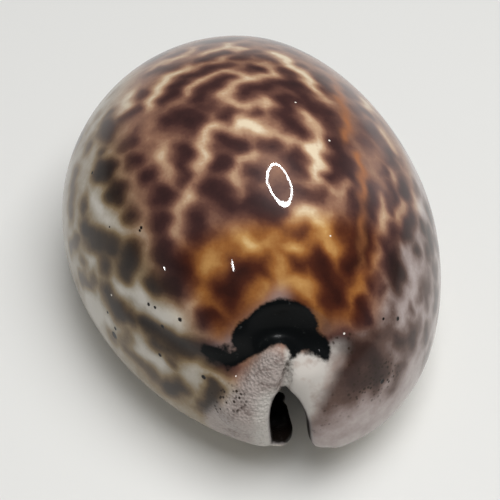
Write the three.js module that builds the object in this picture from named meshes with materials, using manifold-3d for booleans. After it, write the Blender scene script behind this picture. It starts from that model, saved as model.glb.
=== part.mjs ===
// A tiger cowrie: one hollow shell, grown in one piece and open only along its underside.
// Millimetres, +Z up. The spire end faces -Y and the siphon end +Y. Seen from above with the
// spire end nearest, the columella side is on the left (-X) and the outer lip on the right (+X).
// The outer surface and the hollow are spheres whose vertices are pushed out along their rays
// until they meet a closed-form ovoid. The toothed aperture and the two end canals are cut out.
import * as THREE from "three";
import { mergeVertices } from "three/addons/utils/BufferGeometryUtils.js";
import Module from "manifold-3d";

const wasm = await Module();
wasm.setup();

// ---- driving dimensions ----
const shellLength = 85;
const shellWidth = 64;
const shellHeight = 46;
const sideLevel = 12; // height of the widest part of the flanks
const leftShare = 1.07; // columella side's share of the half width
const endTaper = 0.035; // the siphon end is this much narrower, the spire end wider
const crestShift = 0.15; // the dome is higher towards the spire end
const domeLean = -2.1; // sideways lean of the dome's crest
const flankSkew = -5; // the right flank lies this far towards the spire end
const planPower = 1.8; // under 2 makes both ends a little pointed
const basePower = 2.7; // over 2 flattens the underside
const footDrop = 1.1; // how much of the round underside is worn off flat

const domeWall = 1.9; // wall at the top of the dome
const baseWall = 6; // wall at the underside
const endWall = 3.2; // added to the wall at both ends
const baseThickening = 4; // the higher, the nearer the wall stays thin towards the underside

const outerLipTeeth = 25;
const columellaTeeth = 23;
const toothDepth = 1.1;
const toothShare = 0.5; // a tooth's width at its root over the pitch

// What sinks into or stands on the plain ovoid. A dimple is an ellipsoid that stands mostly
// outside the wall, turned about X to face outwards; a rod tapers from its first radius to its
// second. blend is the width of the fillet where they meet the body.
const spireDimples = [
  { centre: [-3.1, -38.3, 32.5], radii: [10.3, 7.1, 6], facing: 0.92, blend: 1.2 }, // sunken spire
  { centre: [-8.8, -38.2, 27.2], radii: [4.6, 4.8, 4], facing: 0.92, blend: 1.5 }, // its left tail
];
const swellings = [
  { from: [-2.7, -34.9, 26.8], to: [-6.8, -35.6, 17], radii: [2.8, 5.2], blend: 2 }, // hooked ridge
  { from: [1.4, -36.2, 23.6], to: [5, -36.8, 14], radii: [2.6, 4.6], blend: 3 }, // outer lip
  { from: [-3.8, 37.4, 12], to: [-4.4, 36.6, 7], radii: [2.6, 3.4], blend: 4 }, // siphon end, left
  { from: [5.2, 36.4, 12], to: [5.8, 35.6, 7], radii: [2.6, 3.4], blend: 4 }, // siphon end, right
];
const spireWall = 2.4; // wall kept between the sunken spire and the hollow
// The hollow reaches into the columella side of the spire canal.
const sideChamber = { centre: [-2.6, -32.4, 14.5], radii: [4.6, 5.8, 7.4], facing: 0, blend: 2 };

// Facets round the long axis and along it.
const outerFacets = [68, 46];
const innerFacets = [40, 28];
const bisections = 30;

// The body's middle, from which every ray starts.
const middle = new THREE.Vector3(0, 0, sideLevel);
const xAxis = new THREE.Vector3(1, 0, 0);

// Size of the ovoid through a point: 1 on the surface, less inside.
function ovoidSize(p) {
  const halfWidth = (shellWidth / 2) * (p.x < 0 ? leftShare : 2 - leftShare);
  const across = THREE.MathUtils.clamp(p.x / halfWidth, -1.3, 1.3);
  const along = (p.y - flankSkew * across) / (shellLength / 2);
  const crown = Math.max(0, 1 - along * along);
  const leaned = p.x - domeLean * (p.z / shellHeight) * crown;
  const u = Math.abs(leaned) / (halfWidth * (1 - endTaper * along));
  const above = p.z > sideLevel;
  const w = above
    ? (p.z - sideLevel) / ((shellHeight - sideLevel) * (1 - crestShift * along))
    : (sideLevel - p.z) / (sideLevel + footDrop);
  const n = above ? 2 : basePower;
  const section = (u ** n + w ** n) ** (1 / n);
  return (section ** planPower + Math.abs(along) ** planPower) ** (1 / planPower);
}

// Smooth joins of two distances over a blend of the given width.
function smoothMin(a, b, blend) {
  const h = Math.max(0, blend - Math.abs(a - b)) / blend;
  return Math.min(a, b) - (h * h * blend) / 4;
}
const smoothMax = (a, b, blend) => -smoothMin(-a, -b, blend);

// Rough distance to an ellipsoid turned about X by the angle it faces: negative inside.
function blobDistance(p, { centre, radii, facing }) {
  const offset = p.clone().sub(new THREE.Vector3(...centre)).applyAxisAngle(xAxis, -facing);
  offset.divide(new THREE.Vector3(...radii));
  return (offset.length() - 1) * Math.min(...radii);
}

// Distance to a tapering rod.
function rodDistance(p, { from, to, radii }) {
  const line = new THREE.Line3(new THREE.Vector3(...from), new THREE.Vector3(...to));
  const share = line.closestPointToPointParameter(p, true);
  const nearest = line.at(share, new THREE.Vector3());
  return p.distanceTo(nearest) - THREE.MathUtils.lerp(...radii, share);
}

// Rough distance to the ovoid: negative inside.
function bodyDistance(p) {
  const reach = p.clone().sub(middle);
  const upright = reach.z > 0 ? shellHeight - sideLevel : sideLevel + footDrop;
  const share = Math.hypot(reach.x / (shellWidth / 2), reach.y / (shellLength / 2), reach.z / upright);
  return (ovoidSize(p) - 1) * (reach.length() / share);
}

// The outside: the body with the sunken spire, its swellings, and the flat foot at z = 0.
function outside(p) {
  let d = bodyDistance(p);
  for (const dimple of spireDimples) d = smoothMax(d, -blobDistance(p, dimple), dimple.blend);
  for (const swelling of swellings) d = smoothMin(d, rodDistance(p, swelling), swelling.blend);
  return Math.max(d, -p.z);
}

// The hollow: the body again, inside a wall that thickens to the underside and the ends, with the
// side chamber added and clear of the sunken spire.
function hollow(p) {
  const low = 1 - THREE.MathUtils.clamp(p.z / shellHeight, 0, 1);
  const ends = (p.y / (shellLength / 2)) ** 4;
  const wall = domeWall + (baseWall - domeWall) * low ** baseThickening + endWall * ends;
  let d = smoothMin(bodyDistance(p) + wall, blobDistance(p, sideChamber), sideChamber.blend);
  for (const dimple of spireDimples) d = Math.max(d, spireWall - blobDistance(p, dimple));
  return d;
}

// Pushes a unit sphere's vertices along their rays to where the given distance is zero.
function pushedSphere(distance, [around, along]) {
  const sphere = new THREE.SphereGeometry(1, around, along);
  const spots = sphere.attributes.position;
  const ray = new THREE.Vector3();
  const spot = new THREE.Vector3();
  for (let i = 0; i < spots.count; i++) {
    ray.fromBufferAttribute(spots, i);
    let near = 0;
    let far = shellLength;
    for (let step = 0; step < bisections; step++) {
      const mid = (near + far) / 2;
      spot.copy(ray).multiplyScalar(mid).add(middle);
      if (distance(spot) < 0) near = mid;
      else far = mid;
    }
    spots.setXYZ(i, spot.x, spot.y, spot.z);
  }
  return sphere;
}

// The aperture's centre line and half width between the tooth tips, from one end of the shell
// (-1) to the other (1).
const apertureMiddle = (t) => 2.6 - (t < 0 ? 0.75 : 2.2) * t * t;
const apertureHalf = (t) => 2.55 + 1.15 * t + 0.1 * t * t;
const toothedReach = 0.86; // teeth run over this share of the length
const openReach = 1.1; // the cut runs past both ends

// One lip of the aperture in plan, with its teeth as tapered steps. side is -1 left, 1 right.
function lipLine(side, teeth) {
  const points = [];
  const add = (t, height) => {
    const edge = apertureHalf(t) + toothDepth - height;
    points.push(new THREE.Vector2(apertureMiddle(t) + side * edge, (t * shellLength) / 2));
  };
  const pitch = (2 * toothedReach) / teeth;
  const root = (pitch * toothShare) / 2;
  const tip = root * 0.45;
  add(-openReach, toothDepth);
  for (let i = 0; i < teeth; i++) {
    const centre = -toothedReach + (i + 0.5) * pitch;
    const height = toothDepth * Math.min(1, 4 * (1 - Math.abs(centre))); // the end teeth are low
    add(centre - root, 0);
    add(centre - tip, height);
    add(centre + tip, height);
    add(centre + root, 0);
  }
  add(openReach, toothDepth);
  return points;
}

function apertureCutter() {
  const left = lipLine(-1, columellaTeeth);
  const right = lipLine(1, outerLipTeeth).reverse();
  const cutter = new THREE.ExtrudeGeometry(new THREE.Shape([...left, ...right]), {
    depth: sideLevel + 1, // from just under the foot up into the hollow
    bevelEnabled: false,
  });
  return cutter.translate(0, 0, -1);
}

// A canal through one end: an arch drawn in X and Z that leans with height, extruded along Y
// from beyond the end into the hollow.
function canalCutter({ x, width, top, lean, from, to, sill }) {
  const half = width / 2;
  const spring = top - 1.7 * half; // where the sides begin to close
  const at = (side, height) => [x + side * half + lean * height, height];
  const arch = new THREE.Shape();
  arch.moveTo(...at(-1, sill));
  arch.lineTo(...at(1, sill));
  arch.lineTo(...at(1, spring));
  arch.quadraticCurveTo(...at(0.9, top - half * 0.2), ...at(0, top));
  arch.quadraticCurveTo(...at(-0.9, top - half * 0.2), ...at(-1, spring));
  const cutter = new THREE.ExtrudeGeometry(arch, {
    depth: to - from,
    bevelEnabled: false,
    curveSegments: 6,
  });
  // stand the arch up, then slide it to its place along Y
  return cutter.rotateX(Math.PI / 2).translate(0, to, 0);
}

// The spire canal leaves a sill on the left of the aperture.
const spireCanal = { x: 0.75, width: 6.2, top: 21.9, lean: -0.115, from: -50, to: -31, sill: 10 };
const siphonCanal = { x: 0.6, width: 6.4, top: 13, lean: 0, from: 30, to: 50, sill: -2 };

// Manifold solids from three.js geometry and back.
function solidOf(geometry) {
  const bare = geometry.clone();
  bare.deleteAttribute("normal");
  bare.deleteAttribute("uv");
  const merged = mergeVertices(bare, 1e-4);
  return new wasm.Manifold(
    new wasm.Mesh({
      numProp: 3,
      vertProperties: merged.attributes.position.array,
      triVerts: new Uint32Array(merged.index.array),
    }),
  );
}

function geometryOf(solid) {
  const mesh = solid.getMesh();
  const geometry = new THREE.BufferGeometry();
  geometry.setAttribute("position", new THREE.BufferAttribute(mesh.vertProperties, 3));
  geometry.setIndex(new THREE.BufferAttribute(mesh.triVerts, 1));
  geometry.computeVertexNormals();
  return geometry;
}

function makeShell() {
  const canals = [spireCanal, siphonCanal].map(canalCutter);
  const outer = solidOf(pushedSphere(outside, outerFacets));
  const inner = solidOf(pushedSphere(hollow, innerFacets));
  let solid = outer.subtract(inner);
  for (const cutter of [apertureCutter(), ...canals]) solid = solid.subtract(solidOf(cutter));
  const geometry = geometryOf(solid);
  // stand it on z = 0 with its box centred over the origin
  geometry.computeBoundingBox();
  const { min, max } = geometry.boundingBox;
  geometry.translate(-(min.x + max.x) / 2, -(min.y + max.y) / 2, -min.z);
  return geometry;
}

const cowrie = new THREE.Group();
const glazed = new THREE.MeshStandardMaterial({ color: 0x8a6a52, roughness: 0.18, metalness: 0 });
const shell = new THREE.Mesh(makeShell(), glazed);
shell.name = "shell";
cowrie.add(shell);

export default cowrie;
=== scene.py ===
# A tiger cowrie on a pale table, seen from above and behind its spire end.
# The shell is one Geometry Nodes rule: an egg-shaped wall with a hollow, a toothed slit and a canal
# at each end. The rule works in millimetres, in the shell's own growth frame, and the finished mesh
# is fitted to the CAD shell's box. Its markings are listed strokes, dark and pale, laid out
# by the distance along the shell and the angle round it, and coloured by the material.
import math

import bpy
import numpy as np
from mathutils import Matrix, Vector


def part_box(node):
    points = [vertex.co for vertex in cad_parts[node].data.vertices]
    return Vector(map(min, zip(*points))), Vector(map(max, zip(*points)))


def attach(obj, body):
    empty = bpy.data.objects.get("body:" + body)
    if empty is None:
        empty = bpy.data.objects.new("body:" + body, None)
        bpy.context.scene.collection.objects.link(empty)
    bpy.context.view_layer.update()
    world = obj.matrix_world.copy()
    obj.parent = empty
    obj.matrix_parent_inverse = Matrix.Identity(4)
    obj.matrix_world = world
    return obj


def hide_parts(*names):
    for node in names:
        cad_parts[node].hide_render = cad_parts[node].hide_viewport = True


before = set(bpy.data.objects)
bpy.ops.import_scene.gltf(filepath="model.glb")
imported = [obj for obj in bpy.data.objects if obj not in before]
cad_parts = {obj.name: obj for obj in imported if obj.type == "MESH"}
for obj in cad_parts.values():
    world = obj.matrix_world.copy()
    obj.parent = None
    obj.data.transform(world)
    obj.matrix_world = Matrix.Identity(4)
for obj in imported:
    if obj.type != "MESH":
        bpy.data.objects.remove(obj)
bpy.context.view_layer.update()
shellLow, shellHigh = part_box("shell")
print("frame loaded, shell box in metres", shellLow[:], shellHigh[:])


# A number that nodes work out at every point, written as ordinary arithmetic.
class Term:
    def __init__(self, tree, socket):
        self.tree = tree
        self.socket = socket

    def __add__(self, other):
        return mathNode("ADD", self, other)

    def __radd__(self, other):
        return mathNode("ADD", other, self)

    def __sub__(self, other):
        return mathNode("SUBTRACT", self, other)

    def __rsub__(self, other):
        return mathNode("SUBTRACT", other, self)

    def __mul__(self, other):
        return mathNode("MULTIPLY", self, other)

    def __rmul__(self, other):
        return mathNode("MULTIPLY", other, self)

    def __truediv__(self, other):
        return mathNode("DIVIDE", self, other)

    def __rtruediv__(self, other):
        return mathNode("DIVIDE", other, self)

    def __pow__(self, other):
        return mathNode("POWER", self, other)

    def __neg__(self):
        return mathNode("MULTIPLY", self, -1.0)

    def __abs__(self):
        return mathNode("ABSOLUTE", self)


def mathNode(operation, *values):
    tree = next(v.tree for v in values if isinstance(v, Term))
    node = tree.nodes.new("ShaderNodeMath")
    node.operation = operation
    for socket, value in zip(node.inputs, values):
        if isinstance(value, Term):
            tree.links.new(value.socket, socket)
        else:
            socket.default_value = value
    return Term(tree, node.outputs[0])


def smaller(a, b):
    return mathNode("MINIMUM", a, b)


def larger(a, b):
    return mathNode("MAXIMUM", a, b)


def joined(a, b, fillet):  # the two shapes as one, with a fillet between them
    return mathNode("SMOOTH_MIN", a, b, fillet)


def cutAway(a, b, fillet):  # shape a without shape b, with its edges rounded
    return mathNode("SMOOTH_MAX", a, -b, fillet)


def span(*terms):  # length of the vector with these parts
    total = terms[0] * terms[0]
    for term in terms[1:]:
        total = total + term * term
    return mathNode("SQRT", total)


def rise(term, low, high):  # 0 below low, 1 above high, and smooth between them
    node = term.tree.nodes.new("ShaderNodeMapRange")
    node.interpolation_type = "SMOOTHSTEP"
    term.tree.links.new(term.socket, node.inputs["Value"])
    node.inputs["From Min"].default_value = low
    node.inputs["From Max"].default_value = high
    return Term(term.tree, node.outputs["Result"])


shellSizes = {
    "length": 85.0,
    "width": 64.0,
    "height": 46.0,
    "sideLevel": 12.0,  # height of the widest part of the flanks
    "leftShare": 0.072,  # how much wider than the mean the columella side is
    "endTaper": 0.035,
    "crestShift": 0.15,
    "domeLean": -2.1,
    "flankSkew": -5.0,
    "planPower": 1.8,
    "footDrop": 1.1,
    "domeWall": 1.9,
    "baseWall": 6.0,
    "endWall": 3.2,
    "outerLipTeeth": 25.0,
    "columellaTeeth": 23.0,
    "toothDepth": 1.1,
    "slitHalf": 2.55,
    "cell": 0.6,  # spacing of the grid that the rule is sampled on
}


def along(spot, size):
    # share of the half length, with the right flank slid towards the spire end
    sideways = spot["x"] / span(spot["x"], spot["x"] * 0 + 6.0)
    halfWidth = size["width"] * 0.5 * (1 - size["leftShare"] * sideways)
    across = smaller(larger(spot["x"] / halfWidth, -1.3), 1.3)
    return (spot["y"] - size["flankSkew"] * across) / (size["length"] * 0.5), halfWidth


def bodyDistance(spot, size):
    x, y, z = spot["x"], spot["y"], spot["z"]
    a, halfWidth = along(spot, size)
    crown = larger(1 - a * a, 0.0)
    u = abs(x - size["domeLean"] * (z / size["height"]) * crown) / (halfWidth * (1 - size["endTaper"] * a))
    up = (z - size["sideLevel"]) / ((size["height"] - size["sideLevel"]) * (1 - size["crestShift"] * a))
    down = (size["sideLevel"] - z) / (size["sideLevel"] + size["footDrop"])
    w = larger(up, down)
    power = 2 + 0.7 * rise(down, -0.1, 0.5)
    section = (u ** power + w ** power) ** (1 / power)
    soft = 0.12  # rounds the waist, where the plan's power would leave a ridge
    endOn = (a * a + soft ** 2) ** (size["planPower"] / 2) - soft ** 1.8
    whole = (section ** size["planPower"] + endOn) ** (1 / size["planPower"])
    rx = x / (size["width"] * 0.5)
    ry = y / (size["length"] * 0.5)
    reach = span(x, y, z - size["sideLevel"])
    return (whole - 1) * reach / span(rx, ry, w)


def blob(spot, centre, radii, facing=0.0):  # an ellipsoid turned about X to face outwards
    x, y, z = [spot[k] - c for k, c in zip("xyz", centre)]
    c, s = math.cos(facing), math.sin(facing)
    parts = (x / radii[0], (y * c + z * s) / radii[1], (z * c - y * s) / radii[2])
    return (span(*parts) - 1) * min(radii)


def rod(spot, start, end, radii):
    way = [b - a for a, b in zip(start, end)]
    length2 = sum(w * w for w in way)
    offset = [spot[k] - a for k, a in zip("xyz", start)]
    dot = offset[0] * way[0] + offset[1] * way[1] + offset[2] * way[2]
    share = smaller(larger(dot / length2, 0.0), 1.0)
    nearest = span(*[o - share * w for o, w in zip(offset, way)])
    return nearest - (radii[0] + share * (radii[1] - radii[0]))


def teethAt(spot, size, count):
    # 0 on the crest of each tooth and 1 in the groove between two
    pitch = size["length"] * 0.86 / count
    wave = mathNode("COSINE", spot["y"] / pitch * (2 * math.pi))
    return rise(wave, -0.7, 0.7) * -1 + 1


def shellRule(spot, size):
    x, y, z = spot["x"], spot["y"], spot["z"]
    body = bodyDistance(spot, size)
    dimple = blob(spot, (-3.1, -38.3, 32.5), (10.3, 7.1, 6), 0.92)
    tail = blob(spot, (-8.8, -38.2, 27.2), (4.6, 4.8, 4), 0.92)
    outer = cutAway(body, dimple, 1.2)
    outer = cutAway(outer, tail, 2.0)
    outer = joined(outer, rod(spot, (-2.7, -34.9, 26.8), (-6.8, -35.6, 17), (2.8, 5.2)), 2)
    outer = joined(outer, rod(spot, (1.4, -36.2, 23.6), (5, -36.8, 14), (2.6, 4.6)), 3.5)
    outer = cutAway(outer, rod(spot, (-1, -37.2, 28), (-2.3, -39.2, 24), (0.6, 0.55)), 0.6)
    seamHigh = rod(spot, (-9.5, -36.3, 25), (-15, -32.3, 24), (0, 0))
    seamLow = rod(spot, (-15, -32.3, 24), (-24, -22.4, 24.5), (0, 0))
    seam = smaller(seamHigh, seamLow)
    outer = outer + 0.35 * (1 - rise(seam, 0.0, 2.6))
    outer = joined(outer, rod(spot, (-3.8, 37.4, 12), (-4.4, 36.6, 7), (2.6, 3.4)), 5)
    outer = joined(outer, rod(spot, (5.2, 36.4, 12), (5.8, 35.6, 7), (2.6, 3.4)), 5)
    # aperture
    t = y / (size["length"] * 0.5)
    spireward, siphonward = larger(-t, 0.0), larger(t, 0.0)
    middle = 2.6 - 0.75 * spireward ** 2 - 2.2 * siphonward ** 2
    half = size["slitHalf"] + 1.15 * t + 0.1 * t * t + 1.9 * rise(-t, 0.86, 1.0)
    side = x - middle
    right = rise(side, -0.5, 0.5)
    groove = right * teethAt(spot, size, size["outerLipTeeth"])
    groove = groove + (1 - right) * teethAt(spot, size, size["columellaTeeth"])
    toothed = 1 - rise(larger(t, -1.25 * t), 0.82, 0.93)
    groove = groove * toothed
    lip = abs(side) - half
    slit = lip - size["toothDepth"] * groove
    slit = mathNode("SMOOTH_MAX", slit, z - 11, 2.0)
    outer = outer + 0.55 * groove * (1 - rise(lip, 0.5, 4.5)) * (1 - rise(z, 4.0, 8.0))
    outer = mathNode("SMOOTH_MAX", outer, -z, 0.8)
    # hollow
    low = 1 - smaller(larger(z / size["height"], 0.0), 1.0)
    ends = t * t * t * t
    wall = size["domeWall"] + (size["baseWall"] - size["domeWall"]) * low ** 4 + size["endWall"] * ends
    hollow = joined(body + wall, blob(spot, (-2.6, -32.4, 14.5), (4.6, 5.8, 7.4)), 2.0)
    hollow = larger(hollow, 2.4 - smaller(dimple, tail))
    # canals
    spireX = x - (0.75 - 0.115 * z)
    spireArch = (span(spireX / 2.7, larger(z - 15.0, 0.0) / 7.0) - 1) * 2.7
    spireArch = mathNode("SMOOTH_MAX", spireArch, y + 31.5, 2.0)
    spireArch = mathNode("SMOOTH_MAX", spireArch, 10 - z, 1.5)
    siphonArch = (span((x - 0.6) / 3.0, larger(z - 8, 0.0) / 5.0) - 1) * 3.0
    siphonArch = larger(siphonArch, 30 - y)
    outer = cutAway(outer, spireArch, 4.0)
    gap = joined(joined(hollow, slit, 1.5), siphonArch, 1.5)
    return cutAway(outer, gap, 2.2), body


def ruleGroup():
    tree = bpy.data.node_groups.new("shellRule", "GeometryNodeTree")
    tree.interface.new_socket("Position", in_out="INPUT", socket_type="NodeSocketVector")
    for name in shellSizes:
        tree.interface.new_socket(name, in_out="INPUT", socket_type="NodeSocketFloat")
    tree.interface.new_socket("Distance", in_out="OUTPUT", socket_type="NodeSocketFloat")
    tree.interface.new_socket("Body", in_out="OUTPUT", socket_type="NodeSocketFloat")
    inside = tree.nodes.new("NodeGroupInput")
    split = tree.nodes.new("ShaderNodeSeparateXYZ")
    tree.links.new(inside.outputs["Position"], split.inputs[0])
    spot = {axis: Term(tree, split.outputs[axis.upper()]) for axis in "xyz"}
    size = {name: Term(tree, inside.outputs[name]) for name in shellSizes}
    out = tree.nodes.new("NodeGroupOutput")
    distance, body = shellRule(spot, size)
    tree.links.new(distance.socket, out.inputs["Distance"])
    tree.links.new(body.socket, out.inputs["Body"])
    return tree


def growTree(rule):
    tree = bpy.data.node_groups.new("growShell", "GeometryNodeTree")
    for name, value in shellSizes.items():
        socket = tree.interface.new_socket(name, in_out="INPUT", socket_type="NodeSocketFloat")
        socket.default_value = value
    tree.interface.new_socket("Material", in_out="INPUT", socket_type="NodeSocketMaterial")
    tree.interface.new_socket("Geometry", in_out="OUTPUT", socket_type="NodeSocketGeometry")
    inside = tree.nodes.new("NodeGroupInput")
    new, link = tree.nodes.new, tree.links.new

    def ruleHere(output="Distance"):
        group = new("GeometryNodeGroup")
        group.node_tree = rule
        link(new("GeometryNodeInputPosition").outputs[0], group.inputs["Position"])
        for name in shellSizes:
            link(inside.outputs[name], group.inputs[name])
        return Term(tree, group.outputs[output])

    size = {name: Term(tree, inside.outputs[name]) for name in shellSizes}
    margin = 3.0
    cube = new("GeometryNodeVolumeCube")
    cube.inputs["Background"].default_value = -margin
    link((-ruleHere()).socket, cube.inputs["Density"])
    sides = {
        "X": (size["width"] * -0.5 - margin - 3, size["width"] * 0.5 + margin),
        "Y": (size["length"] * -0.5 - margin, size["length"] * 0.5 + margin),
        "Z": (size["height"] * 0 - margin, size["height"] + margin),
    }
    low, high = new("ShaderNodeCombineXYZ"), new("ShaderNodeCombineXYZ")
    for axis, (start, end) in sides.items():
        link(start.socket, low.inputs[axis])
        link(end.socket, high.inputs[axis])
        link(((end - start) / size["cell"]).socket, cube.inputs["Resolution " + axis])
    link(low.outputs[0], cube.inputs["Min"])
    link(high.outputs[0], cube.inputs["Max"])
    skin = new("GeometryNodeVolumeToMesh")
    skin.inputs["Threshold"].default_value = 0.0
    link(cube.outputs[0], skin.inputs["Volume"])
    geometry = skin.outputs[0]
    for _ in range(5):  # slide every vertex along its normal onto the rule's exact surface
        step = new("ShaderNodeVectorMath")
        step.operation = "SCALE"
        link(new("GeometryNodeInputNormal").outputs[0], step.inputs[0])
        link((-0.8 * ruleHere()).socket, step.inputs["Scale"])
        settle = new("GeometryNodeSetPosition")
        link(geometry, settle.inputs["Geometry"])
        link(step.outputs[0], settle.inputs["Offset"])
        geometry = settle.outputs[0]
    depth = new("GeometryNodeStoreNamedAttribute")  # how far under the plain egg shape
    depth.inputs["Name"].default_value = "depth"
    link(geometry, depth.inputs["Geometry"])
    link((-ruleHere("Body")).socket, depth.inputs["Value"])
    realize = new("GeometryNodeRealizeInstances")
    link(depth.outputs[0], realize.inputs[0])
    paint = new("GeometryNodeSetMaterial")
    link(realize.outputs[0], paint.inputs["Geometry"])
    link(inside.outputs["Material"], paint.inputs["Material"])
    out = new("NodeGroupOutput")
    link(paint.outputs[0], out.inputs["Geometry"])
    return tree


def growShell(material):
    tree = growTree(ruleGroup())
    seed = bpy.data.objects.new("shellSeed", bpy.data.meshes.new("shellSeed"))
    bpy.context.scene.collection.objects.link(seed)
    modifier = seed.modifiers.new("grow", "NODES")
    modifier.node_group = tree
    identifiers = {item.name: item.identifier for item in tree.interface.items_tree if item.in_out == "INPUT"}
    for name, value in shellSizes.items():
        modifier[identifiers[name]] = value
    modifier[identifiers["Material"]] = material
    grown = seed.evaluated_get(bpy.context.evaluated_depsgraph_get())
    mesh = bpy.data.meshes.new_from_object(grown)
    bpy.data.objects.remove(seed)
    return mesh


def fitToFrame(mesh):
    co = np.empty(len(mesh.vertices) * 3, np.float32)
    mesh.vertices.foreach_get("co", co)
    co = co.reshape(-1, 3)
    low, high = co.min(0), co.max(0)
    cadLow, cadHigh = np.array(shellLow), np.array(shellHigh)
    print("grown box mm", low, high, "cad", cadLow, cadHigh)
    placed = (co - low) / (high - low) * (cadHigh - cadLow) + cadLow
    mesh.vertices.foreach_set("co", placed.astype(np.float32).ravel())
    mesh.update()
    return co


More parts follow.
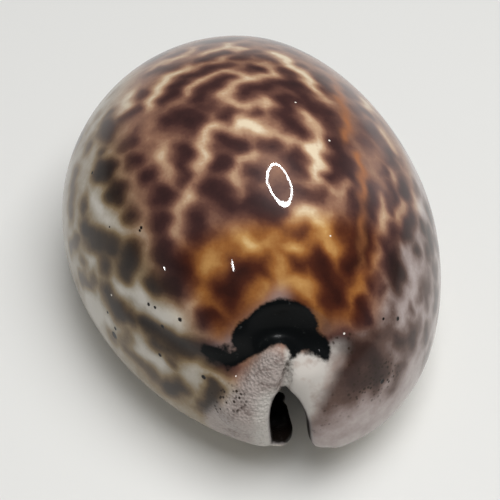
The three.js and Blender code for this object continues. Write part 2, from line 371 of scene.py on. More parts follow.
# Where the markings lie. A stroke is its half width in millimetres, its strength, and the points it
# runs through: millimetres along the shell, the spire end at -42, and the angle round it in
# degrees from the crest, the columella side negative.
strokes = {
    "crownDark": [
        (1.6, 0.6, (15.3, -36), (13, -27.5)), (1.5, 0.75, (15.8, -12.5), (13.6, -20)),
        (1.4, 0.6, (12.2, -8.5), (15, -3.5)), (1.5, 0.6, (12.5, 0), (11, 3.5)),
        (1.5, 0.85, (8, -4.5), (7.8, -3)), (1.5, 0.75, (9.6, -13), (9.2, -18), (8.3, -24)),
        (1.7, 0.9, (6.5, -27), (3.6, -29.5)), (1.6, 0.85, (5.8, -12), (4.6, -16.5), (2, -20.5)),
        (1.8, 0.85, (0.8, -8.5), (2.4, -3), (3.4, 2), (3.4, 6)), (1.7, 0.75, (7.4, 5.5), (6, 7.5)),
        (1.3, 0.65, (9, -39), (7.4, -37.5)), (1.1, 0.4, (17.9, 4.3)), (2, 0.5, (19, -19.6)),
        (2, 0.45, (20.4, -30)), (1.5, 0.45, (19, -5.7)), (1.3, 0.7, (11, 12)),
        (1.9, 0.7, (8.8, 17.5), (4.4, 17.5)), (2.1, 0.8, (3.5, 8), (-1.5, 8), (-3, 15)),
        (1.7, 0.6, (9, 29), (6.3, 28)), (1.3, 0.7, (2.7, 30.5), (2.7, 33)), (1.6, 0.55, (1.5, 27)),
        (1, 0.35, (7.9, 43)), (1.4, 0.35, (2.4, 42)), (1.8, 0.4, (18.5, 12)), (1.6, 0.4, (16.8, 15)),
        (1.6, 0.35, (22.5, -12)), (1.8, 0.35, (22.5, 2)), (1.4, 0.35, (14.3, 22)), (1.6, 0.4, (24, -24)),
        (1.9, 1, (-1, -29), (-1.8, -24), (-3.8, -22.5)), (1.5, 0.6, (0, -20.5), (-1.2, -18)),
        (1.4, 0.8, (-3.7, -14.6), (-3.7, -13.4)), (1, 0.6, (-3.6, -6.3), (-3.6, -5)),
        (1.8, 0.9, (-0.8, 3), (-4.5, 1.5), (-6.8, 4), (-8, 6.5)), (1.6, 0.9, (-8.2, -16.5), (-9.8, -11.5)),
        (1.6, 0.95, (-11.9, -17.6), (-12, -16.4)), (1.7, 0.85, (-10, -4.2), (-10.3, -3.2)),
        (1.8, 0.75, (-14.3, -10), (-14.5, -9)), (1.9, 0.9, (-13, 3), (-13.6, 3.4)),
        (1.7, 0.9, (-8.2, -26.5), (-12, -28.5)), (1.6, 0.9, (-9.6, -38.6), (-9.6, -37.6)),
        (1.7, 0.85, (-5.4, -42), (-5.6, -40.6)), (1.5, 0.75, (-1.6, -44), (-1.6, -41.2)),
        (2.1, 0.95, (-13.4, -36), (-13.5, -34.8)), (1.9, 0.85, (-17.2, -39.4), (-17.2, -38.4)),
        (1.9, 0.85, (-18.6, -28), (-21.2, -28.5)), (2, 0.95, (-14.6, -22), (-16.5, -19), (-20, -16.5)),
        (2, 0.95, (-18.4, -12), (-20, -8), (-20.8, -5.5)), (1.3, 0.75, (-18.3, 2), (-18.8, 9)),
        (1.8, 0.5, (-17.4, -3)), (2, 0.65, (-4, 14), (-8, 17)),
        (2.1, 0.95, (-9.5, 15.5), (-12, 17), (-14.3, 18)), (1.5, 0.85, (-13, 14), (-15.6, 12.6)),
        (1.7, 0.9, (-16, 26.5), (-19, 25.5)), (1.3, 0.75, (-17.5, 20), (-21, 20.5)),
        (2.2, 0.75, (-2.6, 30), (-2.6, 32.5)), (2, 0.5, (-6, 26)),
    ],
    "spireDark": [
        (2.5, 1, (-20.5, -42), (-23.5, -39.5)), (2, 1.05, (-23.5, -51.5), (-25, -44)),
        (1.7, 1.1, (-27.8, -28), (-28.6, -24), (-27.6, -18.5)), (1.4, 0.75, (-27.2, -15), (-27, -10.5)),
        (1.1, 0.9, (-30.3, -40), (-30.3, -34)), (0.9, 0.45, (-23.9, 1), (-23.9, 3.4)),
        (1.2, 0.75, (-27.8, 1), (-27.8, 2.4)), (1.7, 1, (-26.8, 7.5), (-29, 10), (-31.4, 14.5)),
        (1, 0.55, (-31.6, -5), (-32.2, 4)), (2, 1, (-22.5, 23), (-25.5, 23)), (1.8, 1.05, (-27.4, 20)),
        (2.2, 0.55, (-23.5, 16)), (1.5, 0.6, (-30.3, 17.5)), (2.1, 1.1, (-24.8, 36.5), (-26.3, 41)),
        (1.6, 0.8, (-20.6, 36), (-22.5, 33)), (1.2, 0.8, (-28.5, 28.5), (-28.7, 29.6)),
        (1.1, 0.6, (-29.2, 34.6)), (1.1, 0.9, (-31.8, 25.5), (-33.2, 31)), (1.6, 0.55, (-31.1, 43)),
        (1.4, 0.65, (-34.2, 37), (-33.4, 46)), (1.2, 0.6, (-26, 58)), (0.9, 0.6, (-28.9, 53), (-28.9, 55.5)),
        (1.2, 0.8, (-33.3, 51), (-32.5, 60)), (1.6, 0.9, (-36, 22), (-36.6, 32), (-36.4, 45), (-37.4, 56)),
        (1.4, 0.75, (-38.6, 30), (-38.8, 48)), (1.3, 0.6, (-40, 24), (-40.2, 40)),
        (1.2, 0.6, (-35, 66), (-37, 74)),
        (1.5, 0.65, (-25, 64)), (1.4, 0.65, (-21.5, 72)), (1.8, 0.8, (-32, 65)),
    ],
    "rightDark": [
        (1.7, 0.8, (-5.5, 38), (-8, 37.5)), (1.5, 0.45, (-5.4, 42)), (1.9, 1, (-11.2, 41.4), (-12, 41.6)),
        (1.1, 0.7, (-10.9, 33.4)), (1.2, 0.8, (-12.8, 35.5), (-15, 37)),
        (1.2, 0.7, (-15.3, 33.5), (-17.3, 34)),
        (1.8, 1, (-16, 45), (-19.2, 42)), (1.5, 0.95, (-20.5, 50)), (1.8, 0.9, (-15.4, 54.3)),
        (1.6, 0.5, (-8.4, 51.8)), (1.8, 0.85, (-18.4, 59)), (1.6, 0.6, (-14, 66)),
    ],
    "leftDark": [
        (1.7, 0.65, (2.6, -67), (1, -69), (-1.8, -74)), (1.7, 0.7, (-4.8, -65.4), (-4.8, -64.2)),
        (2, 1.15, (-2.8, -54), (-4, -51)), (2.1, 1.1, (-8.2, -51), (-8.6, -50)), (1.7, 0.95, (-13.2, -48.4)),
        (2, 0.9, (6, -51.5), (3.2, -49)), (1.2, 0.75, (0.5, -52)), (1.3, 0.8, (4.6, -45), (4.8, -39)),
        (1.7, 0.65, (5.2, -58.7)), (1.2, 0.65, (8.8, -51)), (1.5, 0.4, (12.1, -57.5)),
        (1.4, 0.35, (16.8, -53.7)), (1.4, 0.35, (10.4, -61.4)),
        (1.3, 0.7, (-5, -82), (-6.5, -78), (-7.5, -74)),
        (2.2, 1, (-8.6, -67.5), (-11, -65.5), (-13, -62), (-15, -59)), (2, 0.8, (-15.7, -66)),
        (2.1, 1.15, (-19.2, -59), (-17.6, -52)), (2.2, 0.9, (-18.5, -73), (-21.5, -74)),
        (1.3, 0.65, (-11, -84), (-14.5, -79), (-15, -75)), (1.5, 0.55, (-10.9, -76.4)),
        (1.4, 0.6, (-21.2, -88.7)), (1.8, 0.4, (-9.3, -90)), (2, 0.9, (-21.5, -73), (-23.3, -70)),
        (1.4, 1.1, (-25.5, -66.5), (-25.9, -64.5)),
        (1.5, 1, (-26.5, -64), (-28.3, -61), (-30.3, -58), (-32.2, -52), (-34, -46)),
        (1.4, 0.6, (-28, -69), (-30, -64)), (1, 0.65, (-26.7, -46.2)),
        (1.3, 0.65, (-24.4, -82), (-24.4, -78.5)),
        (1.5, 0.55, (-24, -86), (-29, -86)), (1, 0.6, (-30.6, -70.3)), (1.5, 0.8, (-31.5, -88), (-33, -79)),
        (1, 0.8, (-36.8, -83), (-36.6, -69), (-36, -60)), (1, 0.5, (-36.4, -88)),
    ],
    "pale": [
        (0.7, 0.6, (16.6, -38), (18, -35), (16.9, -31), (17.9, -26), (21, -24)),
        (0.9, 0.85, (20, -11), (18, -12.5), (16.6, -18.5)), (0.8, 0.8, (18, -12), (16.4, -6.5)),
        (1, 0.85, (11.5, -25.5), (9.8, -30.5), (6.5, -33.5), (4.8, -35.3)),
        (0.9, 0.95, (15, 4.5), (13, 7.5), (10, 7)), (1.1, 1.05, (10, 8), (8.5, 11), (6.5, 12), (3.5, 12.5)),
        (0.8, 0.8, (7.8, -13), (6.5, -9.5), (5, -7), (4.8, -4), (5.2, 0), (6.6, 1.5)),
        (0.8, 0.75, (5, -7), (3, -11), (1.2, -13)), (0.7, 0.6, (9.5, -1), (8, 1.3), (5.5, 1.2)),
        (0.6, 0.6, (4, -24.5), (6, -21), (7.2, -16.5), (7.8, -13)), (0.8, 0.35, (11, -22), (12.5, -13)),
        (1.2, 0.4, (1.3, -28.4)), (1.3, 0.8, (9.5, -42.8), (6.5, -42.8)),
        (0.8, 0.75, (0, -12), (-1.6, -10.5), (-2, -7.5)), (1, 0.7, (-1.8, -3), (-2.4, -2.2)),
        (1.1, 1.15, (-5.9, -10.5), (-6.6, -7.5), (-8.2, -5)),
        (0.9, 0.85, (-5.2, -17), (-7, -20.5), (-10, -21.8), (-13, -23)),
        (0.9, 0.65, (-13, -23), (-15, -27), (-15.5, -30.5)), (1, 0.65, (-7.8, -33), (-11.8, -31.5)),
        (0.7, 0.75, (-11.8, -9), (-12.4, -12), (-14.5, -13.8), (-17.2, -13)),
        (1.2, 1.2, (-9.7, 9.3), (-11.5, 8.2), (-13.3, 9)), (0.9, 0.9, (-13.3, 9), (-16.2, 8.5)),
        (0.7, 0.65, (-8.4, -1.5), (-9.8, 2), (-10, 6)), (0.8, 0.75, (-4, 7.5), (-6.5, 9.3), (-9, 11)),
        (0.9, 0.55, (-16, -31), (-18.5, -34), (-21, -36)),
        (0.6, 0.65, (-15.7, 9), (-17.2, 12.5), (-17, 16.5), (-15.8, 17.5)),
        (0.8, 0.5, (2.2, 12.5), (0.8, 15)), (0.9, 0.65, (7.5, 38), (5.5, 35)), (1.2, 0.5, (8.8, 42.3)),
        (0.9, 0.75, (-0.5, 37), (-3.6, 39.5)), (0.7, 0.75, (-9.5, 37.5), (-12.2, 36)),
        (0.8, 0.75, (-14.5, 42), (-17.6, 39)), (0.9, 0.7, (-16.5, 31), (-20.5, 32)),
        (1.2, 0.5, (-12.3, 51.2)),
        (1.3, 0.95, (-21.5, -16.5), (-24.5, -13.5)), (1.3, 0.9, (-23.5, -27), (-25.5, -28.5)),
        (1.1, 0.65, (-24.2, -7.3)), (0.9, 0.8, (-21.5, 0), (-21.3, 4), (-20.8, 6)),
        (1.1, 0.95, (-20.8, 6), (-22.8, 10), (-25.8, 12)), (0.8, 0.75, (-25.6, -1), (-25.8, 4), (-24.8, 8)),
        (1, 0.75, (-27, -6.5), (-29.5, -4), (-30, 2), (-29.5, 5)), (0.9, 0.5, (-29.4, -20), (-29.4, -12)),
        (0.8, 0.5, (-31, 3), (-33.3, 8)), (0.8, 0.5, (-27.8, -43), (-28.5, -36), (-29.3, -32)),
        (0.9, 0.65, (-29, 4.5), (-31.5, 6)), (0.7, 0.5, (-31, 21), (-28, 27), (-24.5, 30.5)),
        (1.3, 0.5, (-6, -59), (-9, -59), (-12, -55), (-15.5, -50), (-18, -47)), (1, 0.5, (-12.9, -72.6)),
        (2, 0.5, (-15.5, -89), (-18.5, -84)), (1.5, 0.75, (-20.8, -64.5), (-22.5, -60), (-26.3, -57.5)),
        (1.5, 0.8, (-26.8, -55), (-27.2, -51)), (1.4, 0.8, (-26.5, -79), (-29.5, -76.5)),
        (1.3, 0.5, (-33.3, -75), (-34, -66), (-33.5, -60)),
    ],
    "dorsalLine": [
        (0.7, 0.55, (11, 25), (8, 24), (5, 22.4)), (0.8, 0.85, (5, 22.4), (0, 21.6), (-3.2, 21.2)),
        (0.7, 0.8, (-3.2, 21.2), (-6, 20.2), (-7.6, 18.8)),
        (0.6, 0.95, (-10.2, 22.3), (-12.3, 23.4), (-15.7, 23.4), (-17.5, 23.2)),
        (0.6, 0.45, (-17.5, 23.2), (-22, 22.5), (-28, 24)),
    ],
}
# The black stain of the spire: balls joined together, with a tail along the left. Middles are in the
# growth frame.
stainShape = {
    "balls": [
        ((-2.4, -34.6, 31), 5.7), ((1.7, -36.4, 29.2), 3.2),
        ((-5.9, -33.9, 29.5), 3.9), ((-8.4, -35.6, 25.8), 2.5),
    ],
    "tail": ((-33.2, -49), (-34.4, -42), (-34.6, -30)),
    "tailRadius": 1,
}
# Small open pits, with their radius in millimetres, and painted glints: pale dots that stand in for tiny
# highlights on the glaze.
pits = [
    (-21.5, -86, 0.6), (-21.5, -82, 0.3), (-19.3, -80, 0.25), (-15.8, -46, 0.22), (-16.3, -46.6, 0.2),
    (-25.5, -56, 0.22), (-24.5, -57.5, 0.25), (-28.5, -50, 0.3), (-29.5, -72, 0.3), (-34.5, -61, 0.35),
    (-31, 48, 0.3), (-32.3, 39, 0.2), (-37.5, 60, 0.35), (-1.5, -57, 0.25), (-27.5, -60, 0.3),
    (-12, -57, 0.15),
]
glintDots = [(-1.5, 5, 0.16), (-9, 13.5, 0.18), (-35, 22, 0.18), (-19, -71, 0.18), (-24, 11.5, 0.14)]
markSizes = {
    "groundTone": 0.36,  # 0 is the palest colour of the shell and 1 the darkest
    "flankTone": 0.16,
    "spotTone": 0.56,
    "windowTone": 0.42,
    "paleSpread": 1.3,
    "softness": 1.15,  # how far the marks spread beyond their half width
    "scatterSeed": 7,
    "scatterTries": 2500,
    "scatterGap": 4.2,  # millimetres between scattered spots
    "warp": 0.28,  # millimetres by which the edges of the marks wander
    "warpLength": 1.1,
}


def smoothRise(value, low, high):
    share = np.clip((value - low) / (high - low), 0, 1)
    return share * share * (3 - 2 * share)


def growthPlace(co, normals):
    x, y, z = co.T
    up = z - 14.0
    reach = np.hypot(x, up)
    outward = (normals[:, 0] * x + normals[:, 2] * up) / np.maximum(reach, 1.0) + normals[:, 1] * y / 60.0
    return {"x": x, "y": y, "z": z, "turn": np.degrees(np.arctan2(x, up)), "reach": reach, "outward": outward}


# Distance over the surface to a line of points.
def strokeGap(place, points):
    nearest = np.full(len(place["y"]), 1e6)
    scale = np.radians(place["reach"])
    for (y0, turn0), (y1, turn1) in zip(points, points[1:] or points):
        alongY, alongU = y1 - y0, (turn1 - turn0) * scale
        fromY, fromU = place["y"] - y0, (place["turn"] - turn0) * scale
        share = np.clip((fromY * alongY + fromU * alongU) / (alongY ** 2 + alongU ** 2 + 1e-9), 0, 1)
        nearest = np.minimum(nearest, np.hypot(fromY - share * alongY, fromU - share * alongU))
    return nearest


# Soft strokes, joined so that where two overlap they are little stronger than either.
def strokeField(place, drawn):
    total = np.zeros(len(place["y"]))
    for halfWide, strength, *points in drawn:
        gap = strokeGap(place, points) / (halfWide * markSizes["softness"])
        total += (strength * np.exp(-0.9 * gap ** 2)) ** 4
    return total ** 0.25


# The same places with their edges made to wander.
def wandering(place):
    moved = dict(place)
    size = markSizes["warpLength"]
    wave = [np.sin((place["x"] * a + place["y"] * b + place["z"] * c) / size)
            for a, b, c in ((1.3, 0.7, -0.4), (-0.5, 1.4, 0.8), (0.6, -0.9, 1.3), (1.1, 1.7, 0.5))]
    moved["y"] = place["y"] + markSizes["warp"] * (wave[0] + 0.7 * wave[1] * wave[2])
    shift = markSizes["warp"] * (wave[3] + 0.7 * wave[0] * wave[1])
    moved["turn"] = place["turn"] + np.degrees(shift / np.maximum(place["reach"], 8))
    return moved


def ballField(place, centre, radius):
    gap = np.sqrt(sum((place[k] - c) ** 2 for k, c in zip("xyz", centre)))
    return gap - radius


def capsuleField(place, start, end, radii):
    offset = np.array([place[k] - a for k, a in zip("xyz", start)])
    way = np.array(end, float) - np.array(start, float)
    share = np.clip((offset * way[:, None]).sum(0) / (way @ way), 0, 1)
    nearest = np.linalg.norm(offset - way[:, None] * share, axis=0)
    return nearest - (radii[0] + share * (radii[1] - radii[0]))


def crowded(y, turn, spots):
    apart = 0.5 * math.sqrt(max(0.05, 1 - (y / 43) ** 2))
    gaps = [math.hypot(y - spot[2][0], (turn - spot[2][1]) * apart) for spot in spots]
    return min(gaps, default=99) < markSizes["scatterGap"]


# Spots where no stroke is listed: the siphon end and the lower flanks.
def scatteredSpots():
    chance = np.random.default_rng(markSizes["scatterSeed"])
    spots = []
    for attempt in range(markSizes["scatterTries"]):
        y, turn = chance.uniform(-31, 42), chance.uniform(-98, 98)
        size, strength = chance.uniform(1.2, 2.0), chance.uniform(0.6, 0.95)
        end = (y + chance.uniform(-1.5, 1.5), turn + chance.uniform(-4, 4))
        placedByHand = y < 23 and 1.5 * y - 88 < turn < min(56 - 1.2 * y, 60)
        if not placedByHand and not crowded(y, turn, spots):
            spots.append((size, strength, (y, turn), end))
    return spots


# The black stain, left bare on the hooked ridge and on the outer lip.
def stainField(place, drawn):
    stain = strokeGap(drawn, stainShape["tail"]) - stainShape["tailRadius"]
    for middle, radius in stainShape["balls"]:
        stain = np.minimum(stain, ballField(place, middle, radius))
    hook = capsuleField(place, (-3, -36.2, 28.2), (-8.5, -38.2, 21.8), (1.6, 4))
    lobeTop = np.where(place["x"] > -2.2, 27.6 - place["z"], -9)
    return np.maximum(stain, np.maximum(-hook, lobeTop))


# The milky grey over the far end, the left flank, beside the dorsal line and above the stain.
# Above the stain it is the shell's own glaze edge; over the far end, the left flank and beside the dorsal
# line it is painted sheen, standing in for the grey reflection of the room at grazing angles.
def veilAndSheenField(place):
    y, turn = place["y"], place["turn"]
    edge = capsuleField(place, (-10, -33, 27), (-2, -30.6, 35.4), (0.8, 0.5))
    veilAndSheen = 0.6 * np.exp(-0.9 * np.maximum(edge, 0) ** 2 / 1.2) * smoothRise(-place["x"], -1, 3)
    # Painted sheen over the far end and the left flank, and in the stroke beside the dorsal line.
    veilAndSheen = np.maximum(veilAndSheen, 0.22 * smoothRise(y, 11, 26))
    veilAndSheen = np.maximum(veilAndSheen, 0.15 * smoothRise(-turn, 28, 44) * smoothRise(y, -6, 6))
    return np.maximum(veilAndSheen, strokeField(place, [(4, 0.25, (16, 29), (0, 31), (-14, 30))]))


# Where dirt has stuck: patches, each with its strength, middle and spread, and the right end.
dirtPatches = [
    (1, (-9.4, -37.8, 20.8), 1.9), (0.7, (-12, -36.8, 17.5), 2.2),
    (0.8, (13.5, -36.4, 21.5), 3.0), (0.7, (6.2, -35, 30), 1.6),
]


def dirtField(place):
    y, turn = place["y"], place["turn"]
    dirt = 0.0
    for strength, middle, spread in dirtPatches:
        dirt = dirt + strength * np.exp(-0.5 * (ballField(place, middle, 0) / spread) ** 2)
    onRight = smoothRise(-y, 34.5, 37.5) * smoothRise(turn, 16, 30) * (1 - smoothRise(turn, 55, 75))
    return dirt + 0.45 * onRight


def paintMarks(mesh, co):
    normals = np.empty(len(mesh.vertices) * 3, np.float32)
    mesh.vertex_normals.foreach_get("vector", normals)
    depth = np.empty(len(mesh.vertices), np.float32)
    mesh.attributes["depth"].data.foreach_get("value", depth)
    place = growthPlace(co, normals.reshape(-1, 3))
    y, z, turn, outward = (place[k] for k in ("y", "z", "turn", "outward"))
    inside = smoothRise(depth, 1.0, 1.8) * (1 - smoothRise(outward, -0.2, 0.5))
    # Painted shade with staining: near-black inside the spire canal and the spire end of the hollow, a deep
    # pocket in shade.
    canalShadeAndStain = smoothRise(depth, 0.5, 1.4) * (1 - smoothRise(y, -31, -27)) * (1 - smoothRise(z, 21.5, 23))
    leftFlank = smoothRise(-turn, 38, 56) * (1 - smoothRise(y, 18, 26))
    onset = 31 + 14 * smoothRise(y, -25, -14) - 15 * smoothRise(-y, 33, 36)
    rightFlank = smoothRise(turn, onset, onset + 10)
    flank = np.maximum(leftFlank, rightFlank)
    amber = smoothRise(-y, 19.5, 23.5) * smoothRise(turn, -44, -34) * (1 - smoothRise(turn, 24, 34))
    amber = amber * (1 - smoothRise(-y, 33, 35))
    ground = markSizes["groundTone"] + (markSizes["flankTone"] - markSizes["groundTone"]) * flank
    ground = ground + 0.1 * amber + 0.14 * smoothRise(-y, 22, 28) * smoothRise(-turn, 50, 62)
    rightEnd = smoothRise(-y, 32, 35) * smoothRise(turn, 22, 30) * (1 - smoothRise(turn, 62, 75))
    ground = ground + 0.06 * rightEnd
    drawn = wandering(place)
    dark = strokes["crownDark"] + strokes["spireDark"] + strokes["leftDark"] + strokes["rightDark"]
    spots = np.minimum(strokeField(drawn, dark + scatteredSpots()), 1.15)
    tone = ground + markSizes["spotTone"] * spots * (1 + 0.35 * flank)
    pale = [(markSizes["paleSpread"] * wide, *rest) for wide, *rest in strokes["pale"]]
    tone = tone - markSizes["windowTone"] * np.minimum(strokeField(drawn, pale), 1.1)

    leftLobe = 1 - smoothRise(capsuleField(place, (-3.4, -36.6, 27), (-7.4, -39.5, 13), (2, 6.2)), -0.4, 1.6)
    rightLobe = smoothRise(-y, 35.0, 36.4) * (1 - smoothRise(turn, 8, 30)) * smoothRise(turn, -60, -35)
    rightLobe = rightLobe * smoothRise(place["x"], -2.4, -1.6)
    rim = capsuleField(place, (-3.9, -40, 21), (-4.2, -41.5, 8), (0.2, 0.6))
    leftRim = 1 - smoothRise(rim, 0.8, 3.4)
    callus = smoothRise(np.abs(turn), 92, 101) * smoothRise(-z, -11, -6)
    callus = np.maximum(callus, 1 - smoothRise(z, 3.5, 6))
    crack = capsuleField(place, (-1.3, -37.4, 27.6), (-2.4, -39.4, 23.6), (0.5, 0.7))
    marks = {
        "tone": tone,
        "amber": amber,
        "leftFlank": leftFlank,
        "rightFlank": rightFlank,
        "dorsalLine": strokeField(drawn, strokes["dorsalLine"]),
        "veilAndSheen": veilAndSheenField(place),
        "callus": callus,
        "leftLobe": leftLobe,
        "rightLobe": np.maximum(rightLobe, leftRim * leftLobe),
        "stain": stainField(place, drawn),
        "dirt": dirtField(place),
        "crack": crack,
        "inside": np.maximum(inside, canalShadeAndStain),
        "canalShadeAndStain": np.maximum(canalShadeAndStain, inside * (1 - smoothRise(y, -30, -18))),
    }
    for name, values in marks.items():
        layer = mesh.attributes.new(name, "FLOAT", "POINT")
        layer.data.foreach_set("value", values.astype(np.float32))
    return place


# Colours as 0-255 screen values. Each ramp runs from the palest tone to the darkest.
ramps = {
    "crown": [(222, 205, 176), (186, 152, 122), (142, 104, 84), (98, 66, 57), (66, 42, 40), (46, 30, 31)],
    "amber": [(222, 190, 134), (186, 138, 80), (148, 94, 47), (108, 61, 33), (74, 36, 23), (52, 24, 18)],
    "leftFlank": [
        (204, 198, 188), (176, 166, 150), (142, 122, 92),
        (100, 80, 57), (62, 49, 38), (42, 33, 28),
    ],
    "rightFlank": [
        (200, 191, 187), (172, 158, 154), (132, 114, 108),
        (92, 70, 62), (62, 43, 38), (44, 30, 27),
    ],
}
rampStops = (0.0, 0.18, 0.38, 0.58, 0.78, 1.0)
paints = {
    "dorsalLine": (160, 102, 62),
    # Grey of the glaze edge above the stain and of the painted sheen.
    "veilAndSheen": (160, 147, 147),
    "callus": (222, 213, 198),
    "leftLobe": (176, 164, 158),
    "leftLobeShade": (112, 96, 90),
    "rightLobe": (198, 192, 185),
    # The next colour is a painted highlight, for the tiny glints.
    "glintPaint": (240, 232, 222),
    "stain": (13, 15, 16),
    "wornStain": (74, 76, 76),
    "dirt": (46, 34, 24),
    "inside": (214, 205, 204),
    # Near-black for the painted shade, with staining, inside the canal. The small pits use it too.
    "canalShadeAndStain": (26, 20, 17),
}


def screenColour(rgb):
    parts = [c / 255 for c in rgb]
    return tuple(p / 12.92 if p <= 0.04045 else ((p + 0.055) / 1.055) ** 2.4 for p in parts) + (1.0,)


def stored(tree, name):
    node = tree.nodes.new("ShaderNodeAttribute")
    node.attribute_name = name
    return Term(tree, node.outputs["Fac"])


def mixed(share, first, second):
    node = share.tree.nodes.new("ShaderNodeMix")
    node.data_type = "RGBA"
    share.tree.links.new(share.socket, node.inputs[0])
    for socket, colour in zip(node.inputs[6:8], (first, second)):
        if isinstance(colour, Term):
            share.tree.links.new(colour.socket, socket)
        else:
            socket.default_value = screenColour(colour)
    return Term(share.tree, node.outputs[2])


def ramped(tone, colours):
    node = tone.tree.nodes.new("ShaderNodeValToRGB")
    tone.tree.links.new(tone.socket, node.inputs[0])
    stops = node.color_ramp.elements
    while len(stops) < len(colours):
        stops.new(0.5)
    for stop, place, colour in zip(stops, rampStops, colours):
        stop.position = place
        stop.color = screenColour(colour)
    return Term(tone.tree, node.outputs[0])


# The place on the shell in millimetres, stretched along the shell if asked.
def millimetres(tree, stretch=(1.0, 1.0, 1.0)):
    coordinates = tree.nodes.new("ShaderNodeTexCoord")
    node = tree.nodes.new("ShaderNodeVectorMath")
    node.operation = "MULTIPLY"
    node.inputs[1].default_value = [1000 / s for s in stretch]
    tree.links.new(coordinates.outputs["Object"], node.inputs[0])
    return node.outputs[0]


# Soft random clouds of the given size in millimetres, from -1 to 1.
def clouds(tree, size, detail=2.0, stretch=(1.0, 1.0, 1.0)):
    node = tree.nodes.new("ShaderNodeTexNoise")
    node.inputs["Scale"].default_value = 1 / size
    node.inputs["Detail"].default_value = detail
    tree.links.new(millimetres(tree, stretch), node.inputs["Vector"])
    return Term(tree, node.outputs["Fac"]) * 2 - 1


# How near the closest of the given spots is, in their own radii.
def nearness(tree, spots):
    nearest = None
    for y, turn, radius in spots:
        node = tree.nodes.new("ShaderNodeVectorMath")
        node.operation = "DISTANCE"
        node.inputs[1].default_value = surfacePoint(y, turn) * 1000
        tree.links.new(millimetres(tree), node.inputs[0])
        here = Term(tree, node.outputs["Value"]) / radius
        nearest = here if nearest is None else smaller(nearest, here)
    return nearest


# Grains of the given size: 0 in their middle and about 0.7 between them.
def grains(tree, size, stretch=(1.0, 1.0, 1.0)):
    node = tree.nodes.new("ShaderNodeTexVoronoi")
    node.inputs["Scale"].default_value = 1 / size
    tree.links.new(millimetres(tree, stretch), node.inputs["Vector"])
    return Term(tree, node.outputs["Distance"])


def glazeShell(material):
    tree = material.node_tree
    shader = tree.nodes["Principled BSDF"]
    wander = clouds(tree, 2.6, 3.0)
    fine = clouds(tree, 0.5, 3.0)
    tone = stored(tree, "tone") + 0.16 * wander + 0.05 * fine
    colour = mixed(stored(tree, "amber"), ramped(tone, ramps["crown"]), ramped(tone, ramps["amber"]))
    colour = mixed(stored(tree, "leftFlank"), colour, ramped(tone, ramps["leftFlank"]))
    colour = mixed(stored(tree, "rightFlank"), colour, ramped(tone, ramps["rightFlank"]))
    streaks = 0.9 + 0.9 * clouds(tree, 1.6, 3.0, (1, 3, 1))
    lined = smaller(larger(stored(tree, "dorsalLine") * streaks, 0.0), 1.0)
    colour = mixed(lined, colour, paints["dorsalLine"])
    # Milky grey: the shell's own glaze edge above the stain, and painted sheen over the far end and the left
    # flank.
    colour = mixed(stored(tree, "veilAndSheen") * (0.85 + 0.3 * wander), colour, paints["veilAndSheen"])
    lobeShade = rise(clouds(tree, 3.2, 4.0) + 0.6 * fine, -0.1, 0.6)
    lobe = mixed(lobeShade * 0.8, paints["leftLobe"], paints["leftLobeShade"])
    colour = mixed(stored(tree, "leftLobe"), colour, lobe)
    bared = smaller(stored(tree, "rightLobe") * (1.1 + 1.0 * clouds(tree, 1.8, 4.0)), 1.0)
    colour = mixed(larger(bared, 0.0), colour, paints["rightLobe"])
    colour = mixed(stored(tree, "callus") * (0.92 + 0.08 * wander), colour, paints["callus"])
    ragged = stored(tree, "stain") + 0.35 * clouds(tree, 1.1, 4.0) + 0.25 * fine
    stained = 1 - rise(ragged, -0.45, 0.15)
    worn = rise(clouds(tree, 0.9, 5.0) + 0.5 * fine, 0.3, 0.7)
    colour = mixed(stained, colour, mixed(0.5 * worn, paints["stain"], paints["wornStain"]))
    specks = 1 - rise(grains(tree, 0.75) + 0.25 * fine, 0.2, 0.42)
    dirty = rise(stored(tree, "dirt") + 0.5 * clouds(tree, 1.7, 2.0), 0.35, 0.8)
    dirty = larger(specks * dirty, 1 - rise(stored(tree, "crack") + 0.3 * fine, -0.1, 0.45))
    colour = mixed(dirty, colour, paints["dirt"])
    pitted = nearness(tree, pits) + 0.25 * fine
    # The pits take the same near-black as the canal.
    colour = mixed(1 - rise(pitted, 0.8, 1.3), colour, paints["canalShadeAndStain"])
    # Painted glints: pale dots that stand in for tiny highlights on the glaze.
    colour = mixed(1 - rise(nearness(tree, glintDots), 0.6, 1.2), colour, paints["glintPaint"])
    colour = mixed(stored(tree, "inside"), colour, paints["inside"])
    # Painted shade with staining: the canal pocket and the spire end of the hollow turn near-black.
    colour = mixed(stored(tree, "canalShadeAndStain"), colour, paints["canalShadeAndStain"])
    tree.links.new(colour.socket, shader.inputs["Base Color"])
    roughness = 0.35 + 0.1 * stored(tree, "leftLobe") + 0.2 * dirty
    tree.links.new(roughness.socket, shader.inputs["Roughness"])
    shader.inputs["Specular IOR Level"].default_value = 0.06
    # Little coat where the stain and the painted canal shade lie.
    glazed = 0.65 * (1 - 0.85 * stained) * (1 - 0.9 * stored(tree, "canalShadeAndStain"))
    tree.links.new(glazed.socket, shader.inputs["Coat Weight"])
    shader.inputs["Coat IOR"].default_value = 1.36
    shader.inputs["Coat Roughness"].default_value = 0.03
    bump = tree.nodes.new("ShaderNodeBump")
    bump.inputs["Distance"].default_value = 0.001
    pebbles = grains(tree, 0.5) * stored(tree, "leftLobe") * 0.25
    height = pebbles + 0.03 * clouds(tree, 5.0, 1.0) - 0.3 * (1 - rise(pitted, 0.7, 1.4))
    tree.links.new(height.socket, bump.inputs["Height"])
    tree.links.new(bump.outputs[0], shader.inputs["Normal"])


def surfacePoint(y, turn):
    return mesh.vertices[nearestVertex(marked, y, turn)].co.copy()


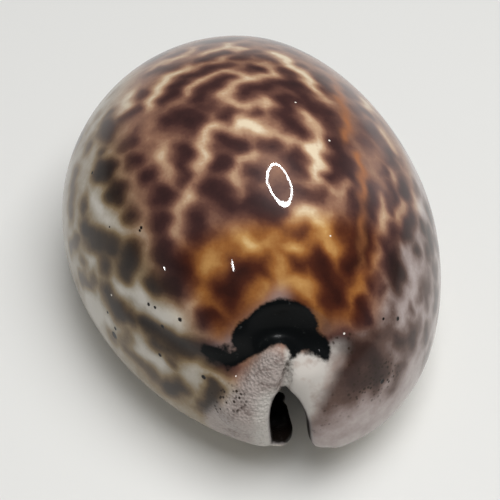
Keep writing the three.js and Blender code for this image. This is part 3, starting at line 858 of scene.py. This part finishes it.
def nearestVertex(place, y, turn):
    outside = np.where(place["outward"] > 0.3, 0.0, 1e3)
    miss = (place["y"] - y) ** 2 + (np.radians(place["turn"] - turn) * place["reach"]) ** 2 + outside
    return int(np.argmin(miss))


glaze = bpy.data.materials.new("glaze")
glaze.use_nodes = True
mesh = growShell(glaze)
print("grown", len(mesh.vertices), "vertices", sum(len(p.vertices) - 2 for p in mesh.polygons), "triangles")
grown = fitToFrame(mesh)
mesh.polygons.foreach_set("use_smooth", [True] * len(mesh.polygons))
marked = paintMarks(mesh, grown)
glazeShell(glaze)
print("markings painted")
cowrie = bpy.data.objects.new("cowrieShell", mesh)
bpy.context.scene.collection.objects.link(cowrie)
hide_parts("shell")
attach(cowrie, "root")
print("shell placed")


cameraView = {
    "aim": (-0.00101, -0.0093, 0.020),
    "distance": 0.200,
    "azimuth": -9.0,
    "elevation": 50.5,
    "roll": 3.5,
    "lens": 87.3,
}


def placeCamera():
    turn = math.radians(cameraView["azimuth"])
    lift = math.radians(cameraView["elevation"])
    back = Vector((math.sin(turn) * math.cos(lift), -math.cos(turn) * math.cos(lift), math.sin(lift)))
    right = Vector((0, 0, 1)).cross(back).normalized()
    up = back.cross(right)
    roll = math.radians(cameraView["roll"])
    sideways = math.cos(roll) * right + math.sin(roll) * up
    upwards = -math.sin(roll) * right + math.cos(roll) * up
    data = bpy.data.cameras.new("camera")
    data.lens = cameraView["lens"]
    data.clip_start = 0.01
    camera = bpy.data.objects.new("camera", data)
    bpy.context.scene.collection.objects.link(camera)
    place = Vector(cameraView["aim"]) + back * cameraView["distance"]
    facing = Matrix((sideways, upwards, back)).transposed().to_4x4()
    camera.matrix_world = Matrix.Translation(place) @ facing
    bpy.context.scene.camera = camera


def makeTable():
    bpy.ops.mesh.primitive_plane_add(size=4)
    table = bpy.context.object
    table.name = "table"
    paint = bpy.data.materials.new("tablePaint")
    paint.use_nodes = True
    shader = paint.node_tree.nodes["Principled BSDF"]
    shader.inputs["Base Color"].default_value = (0.74, 0.74, 0.72, 1)
    shader.inputs["Roughness"].default_value = 0.6
    table.data.materials.append(paint)


lighting = {
    "surroundings": 0.25,  # brightness of the room for everything but reflections
    "reflected": 0.06,  # what the glaze mirrors of the room
    "softboxPower": 3.9,
    "softboxPlace": (0.11, -0.05, 0.62),
    "softboxSize": 0.45,
}


def addSoftbox():
    lamp = bpy.data.lights.new("softbox", "AREA")
    lamp.energy = lighting["softboxPower"]
    lamp.size = lighting["softboxSize"]
    holder = bpy.data.objects.new("softbox", lamp)
    holder.location = lighting["softboxPlace"]
    holder.rotation_euler = (-Vector(lighting["softboxPlace"])).to_track_quat("-Z", "Y").to_euler()
    holder.visible_glossy = False
    bpy.context.scene.collection.objects.link(holder)


def addSurroundings():
    world = bpy.data.worlds.new("studio")
    world.use_nodes = True
    tree = world.node_tree
    path = tree.nodes.new("ShaderNodeLightPath")
    glossy = Term(tree, path.outputs["Is Glossy Ray"])
    strength = lighting["surroundings"] * (1 - glossy) + lighting["reflected"] * glossy
    tree.links.new(strength.socket, tree.nodes["Background"].inputs["Strength"])
    tree.nodes["Background"].inputs["Color"].default_value = (1, 1, 1, 1)
    bpy.context.scene.world = world


# Lamps that only show as reflections. Each is set where the glaze mirrors it to the camera from
# the given place along and round the shell.
reflections = {
    "ringLamp": {"y": -17.0, "turn": -2.5, "away": 0.4, "size": (0.055, 0.082), "thick": 0.009, "glow": 110},
    "tubeLamp": {"y": -26.0, "turn": -20.6, "away": 0.4, "size": (0.0036, 0.019), "thick": 0.0, "glow": 110},
    "spotLamp": {"y": -22.5, "turn": -44.5, "away": 0.4, "size": (0.0035, 0.0045), "thick": 0.0, "glow": 110},
}


# Where a lamp stands to be seen mirrored at a place on the shell, upright to the camera.
def mirrorPose(lamp):
    vertex = mesh.vertices[nearestVertex(marked, lamp["y"], lamp["turn"])]
    normal = vertex.normal
    camera = bpy.context.scene.camera.matrix_world
    view = (camera.translation - vertex.co).normalized()
    upright = camera.to_3x3().col[1]
    direction = 2 * normal.dot(view) * normal - view
    upright = upright - 2 * normal.dot(upright) * normal
    facing = -direction
    sideways = upright.cross(facing).normalized()
    turned = Matrix((sideways, facing.cross(sideways), facing)).transposed().to_4x4()
    return Matrix.Translation(vertex.co + direction * lamp["away"]) @ turned


# A flat pointed oval, or a ring of that outline if it has a thickness.
def ovalMesh(name, halfWide, halfHigh, thick):
    count = 48
    corners = []
    for share in (1.0, 0.0) if thick else (1.0,):
        for i in range(count):
            angle = 2 * math.pi * i / count
            low = max(0.0, -math.sin(angle)) ** 6
            inset = (1 - share) * thick * (1 + 1.5 * low)
            wide = (halfWide - inset) * math.cos(angle) * (1 - 0.22 * abs(math.sin(angle)))
            corners.append((wide, (halfHigh - inset) * math.sin(angle), 0))
    faces = [list(range(count))]
    if thick:
        faces = [(i, (i + 1) % count, (i + 1) % count + count, i + count) for i in range(count)]
    shape = bpy.data.meshes.new(name)
    shape.from_pydata(corners, [], faces)
    return shape


def addReflection(name, lamp):
    shape = ovalMesh(name, *lamp["size"], lamp["thick"])
    glow = bpy.data.materials.new(name)
    glow.use_nodes = True
    tree = glow.node_tree
    tree.nodes.remove(tree.nodes["Principled BSDF"])
    emission = tree.nodes.new("ShaderNodeEmission")
    emission.inputs["Strength"].default_value = lamp["glow"]
    tree.links.new(emission.outputs[0], tree.nodes["Material Output"].inputs["Surface"])
    shape.materials.append(glow)
    holder = bpy.data.objects.new(name, shape)
    bpy.context.scene.collection.objects.link(holder)
    holder.matrix_world = mirrorPose(lamp)
    holder.visible_camera = False
    holder.visible_diffuse = False
    holder.visible_shadow = False


makeTable()
addSoftbox()
addSurroundings()
placeCamera()
bpy.context.view_layer.update()
for name, lamp in reflections.items():
    addReflection(name, lamp)
bpy.context.scene.view_settings.view_transform = "Standard"
print("table, lights and camera set")

bpy.context.view_layer.update()
